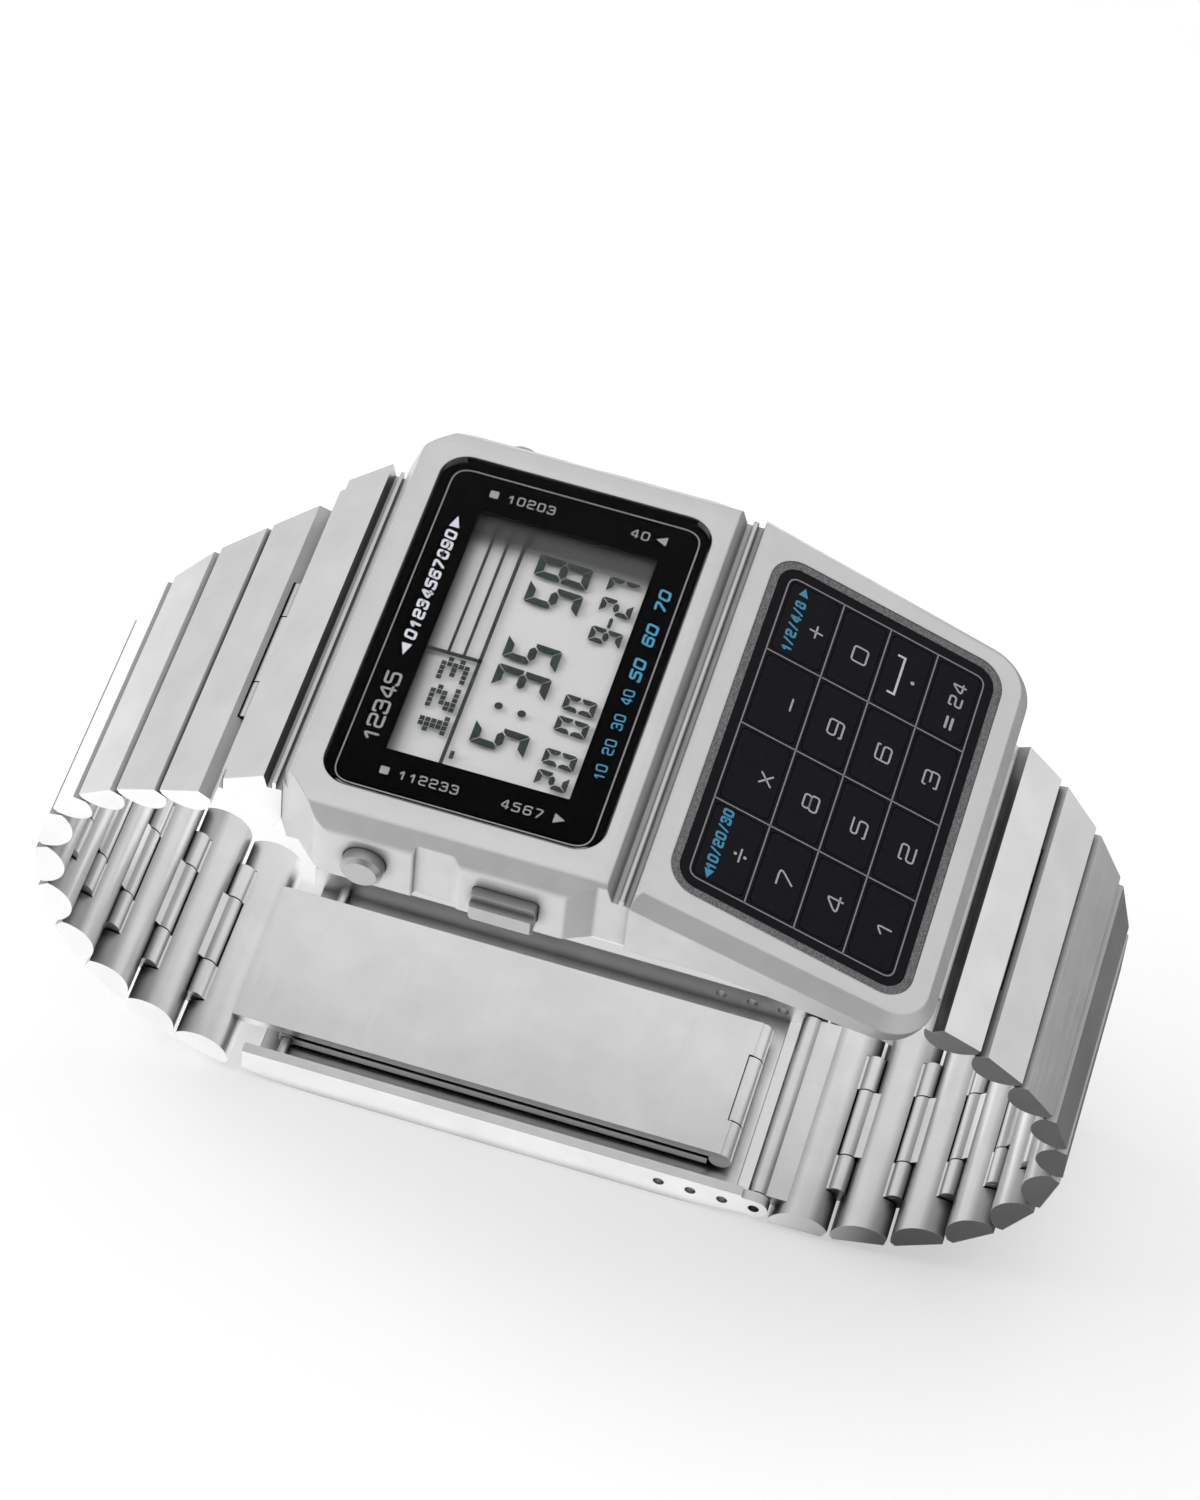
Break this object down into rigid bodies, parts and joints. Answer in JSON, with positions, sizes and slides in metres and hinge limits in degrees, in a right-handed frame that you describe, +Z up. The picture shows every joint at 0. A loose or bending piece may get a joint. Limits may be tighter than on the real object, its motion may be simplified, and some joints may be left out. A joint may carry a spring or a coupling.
{
  "type": "calculator watch",
  "caption": "Digital wristwatch with a calculator keypad sloping down beside its display, side buttons, and a steel bracelet of hinged bars closed by a folding clasp.",
  "frame": {"origin": "middle of the overall box at its lowest face, where the clasp rests", "axes": "+X towards 3 o'clock, +Y towards 12 o'clock, +Z up, out of the display"},
  "size_m": [0.0374, 0.0756, 0.0481],
  "materials": {
    "plated_resin": "silver-plated resin, satin",
    "display_glass": "clear, flat",
    "black_print": "gloss black print",
    "lcd_film": "grey reflective display",
    "white_resin": "moulded",
    "circuit_board": "green lacquer",
    "steel": "brushed",
    "bracelet_steel": "satin brushed across the wrist's length",
    "grey_border": "speckled grey print",
    "key_film": "black, fine leather grain",
    "contact_rubber": "matt",
    "button_resin": "silver-plated resin, satin"
  },
  "bodies": {
    "case": {"case_shell": "plated_resin", "display_glass": "display_glass", "display_mask": "black_print", "lcd_panel": "lcd_film", "module_frame": "white_resin", "main_board": "circuit_board", "battery": "steel", "keypad_bezel": "grey_border", "key_guide": "key_film", "contact_sheet": "contact_rubber", "keypad_board": "circuit_board", "case_back": "steel", "case_back_gasket": "contact_rubber", "case_back_screws": "steel", "lug_bars": "steel", "end_link": "bracelet_steel"},
    "upper_link_01": {"upper_link_01": "bracelet_steel"},
    "upper_link_02": {"upper_link_02": "bracelet_steel"},
    "upper_link_03": {"upper_link_03": "bracelet_steel"},
    "upper_link_04": {"upper_link_04": "bracelet_steel"},
    "upper_link_05": {"upper_link_05": "bracelet_steel"},
    "upper_link_06": {"upper_link_06": "bracelet_steel"},
    "upper_link_07": {"upper_link_07": "bracelet_steel"},
    "upper_link_08": {"upper_link_08": "bracelet_steel"},
    "upper_link_09": {"upper_link_09": "bracelet_steel"},
    "upper_link_10": {"upper_link_10": "bracelet_steel"},
    "clasp_inner_blade": {"clasp_inner_blade": "bracelet_steel"},
    "lower_link_01": {"lower_link_01": "bracelet_steel"},
    "lower_link_02": {"lower_link_02": "bracelet_steel"},
    "lower_link_03": {"lower_link_03": "bracelet_steel"},
    "lower_link_04": {"lower_link_04": "bracelet_steel"},
    "lower_link_05": {"lower_link_05": "bracelet_steel"},
    "lower_link_06": {"lower_link_06": "bracelet_steel"},
    "lower_link_07": {"lower_link_07": "bracelet_steel"},
    "lower_link_08": {"lower_link_08": "bracelet_steel"},
    "lower_link_09": {"lower_link_09": "bracelet_steel"},
    "lower_link_10": {"lower_link_10": "bracelet_steel"},
    "lower_link_11": {"lower_link_11": "bracelet_steel"},
    "clasp_outer_blade": {"clasp_outer_blade": "bracelet_steel"},
    "clasp_cover": {"clasp_cover": "bracelet_steel"},
    "key_divide": {"key_divide": "key_film"},
    "key_multiply": {"key_multiply": "key_film"},
    "key_minus": {"key_minus": "key_film"},
    "key_plus": {"key_plus": "key_film"},
    "key_7": {"key_7": "key_film"},
    "key_8": {"key_8": "key_film"},
    "key_9": {"key_9": "key_film"},
    "key_0": {"key_0": "key_film"},
    "key_4": {"key_4": "key_film"},
    "key_5": {"key_5": "key_film"},
    "key_6": {"key_6": "key_film"},
    "key_point": {"key_point": "key_film"},
    "key_1": {"key_1": "key_film"},
    "key_2": {"key_2": "key_film"},
    "key_3": {"key_3": "key_film"},
    "key_equals": {"key_equals": "key_film"},
    "button_round_left": {"button_round_left": "button_resin"},
    "button_bar_left": {"button_bar_left": "button_resin"},
    "button_round_right": {"button_round_right": "button_resin"},
    "button_bar_right": {"button_bar_right": "button_resin"}
  },
  "joints": [
    {"name": "upper_link_01_hinge", "type": "hinge", "parent": "case", "child": "upper_link_01", "pos_m": [0, 0.0234, 0.03941], "axis": [1, 0, 0], "range_deg": [0, 31]},
    {"name": "upper_link_02_hinge", "type": "hinge", "parent": "upper_link_01", "child": "upper_link_02", "pos_m": [0, 0.02687, 0.03662], "axis": [1, 0, 0], "range_deg": [0, 8]},
    {"name": "upper_link_03_hinge", "type": "hinge", "parent": "upper_link_02", "child": "upper_link_03", "pos_m": [0, 0.0303, 0.03379], "axis": [1, 0, 0], "range_deg": [0, 9]},
    {"name": "upper_link_04_hinge", "type": "hinge", "parent": "upper_link_03", "child": "upper_link_04", "pos_m": [0, 0.03327, 0.03048], "axis": [1, 0, 0], "range_deg": [0, 13.7]},
    {"name": "upper_link_05_hinge", "type": "hinge", "parent": "upper_link_04", "child": "upper_link_05", "pos_m": [0, 0.03536, 0.02655], "axis": [1, 0, 0], "range_deg": [0, 13.7]},
    {"name": "upper_link_06_hinge", "type": "hinge", "parent": "upper_link_05", "child": "upper_link_06", "pos_m": [0, 0.03647, 0.02224], "axis": [1, 0, 0], "range_deg": [0, 13.7]},
    {"name": "upper_link_07_hinge", "type": "hinge", "parent": "upper_link_06", "child": "upper_link_07", "pos_m": [0, 0.03652, 0.01779], "axis": [1, 0, 0], "range_deg": [0, 13.7]},
    {"name": "upper_link_08_hinge", "type": "hinge", "parent": "upper_link_07", "child": "upper_link_08", "pos_m": [0, 0.03552, 0.01346], "axis": [1, 0, 0], "range_deg": [0, 13.7]},
    {"name": "upper_link_09_hinge", "type": "hinge", "parent": "upper_link_08", "child": "upper_link_09", "pos_m": [0, 0.03352, 0.00948], "axis": [1, 0, 0], "range_deg": [0, 13.7]},
    {"name": "upper_link_10_hinge", "type": "hinge", "parent": "upper_link_09", "child": "upper_link_10", "pos_m": [0, 0.03064, 0.00609], "axis": [1, 0, 0], "range_deg": [0, 13.7]},
    {"name": "clasp_inner_blade_hinge", "type": "hinge", "parent": "upper_link_10", "child": "clasp_inner_blade", "pos_m": [0, 0.02703, 0.00348], "axis": [1, 0, 0], "range_deg": [0, 13.7]},
    {"name": "lower_link_01_hinge", "type": "hinge", "parent": "case", "child": "lower_link_01", "pos_m": [0, -0.0257, 0.03601], "axis": [-1, 0, 0], "range_deg": [0, 37]},
    {"name": "lower_link_02_hinge", "type": "hinge", "parent": "lower_link_01", "child": "lower_link_02", "pos_m": [0, -0.02974, 0.03297], "axis": [-1, 0, 0], "range_deg": [0, 11]},
    {"name": "lower_link_03_hinge", "type": "hinge", "parent": "lower_link_02", "child": "lower_link_03", "pos_m": [0, -0.03271, 0.02967], "axis": [-1, 0, 0], "range_deg": [0, 10]},
    {"name": "lower_link_04_hinge", "type": "hinge", "parent": "lower_link_03", "child": "lower_link_04", "pos_m": [0, -0.03507, 0.02589], "axis": [-1, 0, 0], "range_deg": [0, 15]},
    {"name": "lower_link_05_hinge", "type": "hinge", "parent": "lower_link_04", "child": "lower_link_05", "pos_m": [0, -0.03637, 0.02164], "axis": [-1, 0, 0], "range_deg": [0, 15]},
    {"name": "lower_link_06_hinge", "type": "hinge", "parent": "lower_link_05", "child": "lower_link_06", "pos_m": [0, -0.03653, 0.01719], "axis": [-1, 0, 0], "range_deg": [0, 15]},
    {"name": "lower_link_07_hinge", "type": "hinge", "parent": "lower_link_06", "child": "lower_link_07", "pos_m": [0, -0.03553, 0.01285], "axis": [-1, 0, 0], "range_deg": [0, 15]},
    {"name": "lower_link_08_hinge", "type": "hinge", "parent": "lower_link_07", "child": "lower_link_08", "pos_m": [0, -0.03344, 0.00892], "axis": [-1, 0, 0], "range_deg": [0, 15]},
    {"name": "lower_link_09_hinge", "type": "hinge", "parent": "lower_link_08", "child": "lower_link_09", "pos_m": [0, -0.03041, 0.00566], "axis": [-1, 0, 0], "range_deg": [0, 15]},
    {"name": "lower_link_10_hinge", "type": "hinge", "parent": "lower_link_09", "child": "lower_link_10", "pos_m": [0, -0.02664, 0.0033], "axis": [-1, 0, 0], "range_deg": [0, 15]},
    {"name": "lower_link_11_hinge", "type": "hinge", "parent": "lower_link_10", "child": "lower_link_11", "pos_m": [0, -0.02239, 0.002], "axis": [-1, 0, 0], "range_deg": [0, 15]},
    {"name": "clasp_fold", "type": "hinge", "parent": "clasp_inner_blade", "child": "clasp_outer_blade", "pos_m": [0, -0.01354, 0.002], "axis": [-1, 0, 0], "range_deg": [0, 140]},
    {"name": "clasp_cover_hinge", "type": "hinge", "parent": "clasp_outer_blade", "child": "clasp_cover", "pos_m": [0, 0.01971, 0.00145], "axis": [1, 0, 0], "range_deg": [0, 140]},
    {"name": "key_divide_press", "type": "slide", "parent": "case", "child": "key_divide", "axis": [0, 0.3482, -0.9374], "range_m": [0, 0.00025], "stiffness_N_per_m": 2000},
    {"name": "key_multiply_press", "type": "slide", "parent": "case", "child": "key_multiply", "axis": [0, 0.3482, -0.9374], "range_m": [0, 0.00025], "stiffness_N_per_m": 2000},
    {"name": "key_minus_press", "type": "slide", "parent": "case", "child": "key_minus", "axis": [0, 0.3482, -0.9374], "range_m": [0, 0.00025], "stiffness_N_per_m": 2000},
    {"name": "key_plus_press", "type": "slide", "parent": "case", "child": "key_plus", "axis": [0, 0.3482, -0.9374], "range_m": [0, 0.00025], "stiffness_N_per_m": 2000},
    {"name": "key_7_press", "type": "slide", "parent": "case", "child": "key_7", "axis": [0, 0.3482, -0.9374], "range_m": [0, 0.00025], "stiffness_N_per_m": 2000},
    {"name": "key_8_press", "type": "slide", "parent": "case", "child": "key_8", "axis": [0, 0.3482, -0.9374], "range_m": [0, 0.00025], "stiffness_N_per_m": 2000},
    {"name": "key_9_press", "type": "slide", "parent": "case", "child": "key_9", "axis": [0, 0.3482, -0.9374], "range_m": [0, 0.00025], "stiffness_N_per_m": 2000},
    {"name": "key_0_press", "type": "slide", "parent": "case", "child": "key_0", "axis": [0, 0.3482, -0.9374], "range_m": [0, 0.00025], "stiffness_N_per_m": 2000},
    {"name": "key_4_press", "type": "slide", "parent": "case", "child": "key_4", "axis": [0, 0.3482, -0.9374], "range_m": [0, 0.00025], "stiffness_N_per_m": 2000},
    {"name": "key_5_press", "type": "slide", "parent": "case", "child": "key_5", "axis": [0, 0.3482, -0.9374], "range_m": [0, 0.00025], "stiffness_N_per_m": 2000},
    {"name": "key_6_press", "type": "slide", "parent": "case", "child": "key_6", "axis": [0, 0.3482, -0.9374], "range_m": [0, 0.00025], "stiffness_N_per_m": 2000},
    {"name": "key_point_press", "type": "slide", "parent": "case", "child": "key_point", "axis": [0, 0.3482, -0.9374], "range_m": [0, 0.00025], "stiffness_N_per_m": 2000},
    {"name": "key_1_press", "type": "slide", "parent": "case", "child": "key_1", "axis": [0, 0.3482, -0.9374], "range_m": [0, 0.00025], "stiffness_N_per_m": 2000},
    {"name": "key_2_press", "type": "slide", "parent": "case", "child": "key_2", "axis": [0, 0.3482, -0.9374], "range_m": [0, 0.00025], "stiffness_N_per_m": 2000},
    {"name": "key_3_press", "type": "slide", "parent": "case", "child": "key_3", "axis": [0, 0.3482, -0.9374], "range_m": [0, 0.00025], "stiffness_N_per_m": 2000},
    {"name": "key_equals_press", "type": "slide", "parent": "case", "child": "key_equals", "axis": [0, 0.3482, -0.9374], "range_m": [0, 0.00025], "stiffness_N_per_m": 2000},
    {"name": "button_round_left_press", "type": "slide", "parent": "case", "child": "button_round_left", "axis": [1, 0, 0], "range_m": [0, 0.0006], "stiffness_N_per_m": 3000},
    {"name": "button_bar_left_press", "type": "slide", "parent": "case", "child": "button_bar_left", "axis": [1, 0, 0], "range_m": [0, 0.0006], "stiffness_N_per_m": 3000},
    {"name": "button_round_right_press", "type": "slide", "parent": "case", "child": "button_round_right", "axis": [-1, 0, 0], "range_m": [0, 0.0006], "stiffness_N_per_m": 3000},
    {"name": "button_bar_right_press", "type": "slide", "parent": "case", "child": "button_bar_right", "axis": [-1, 0, 0], "range_m": [0, 0.0006], "stiffness_N_per_m": 3000}
  ],
  "couplings": [
    {"joint": "clasp_cover_hinge", "follows": "clasp_fold", "ratio": 1}
  ]
}
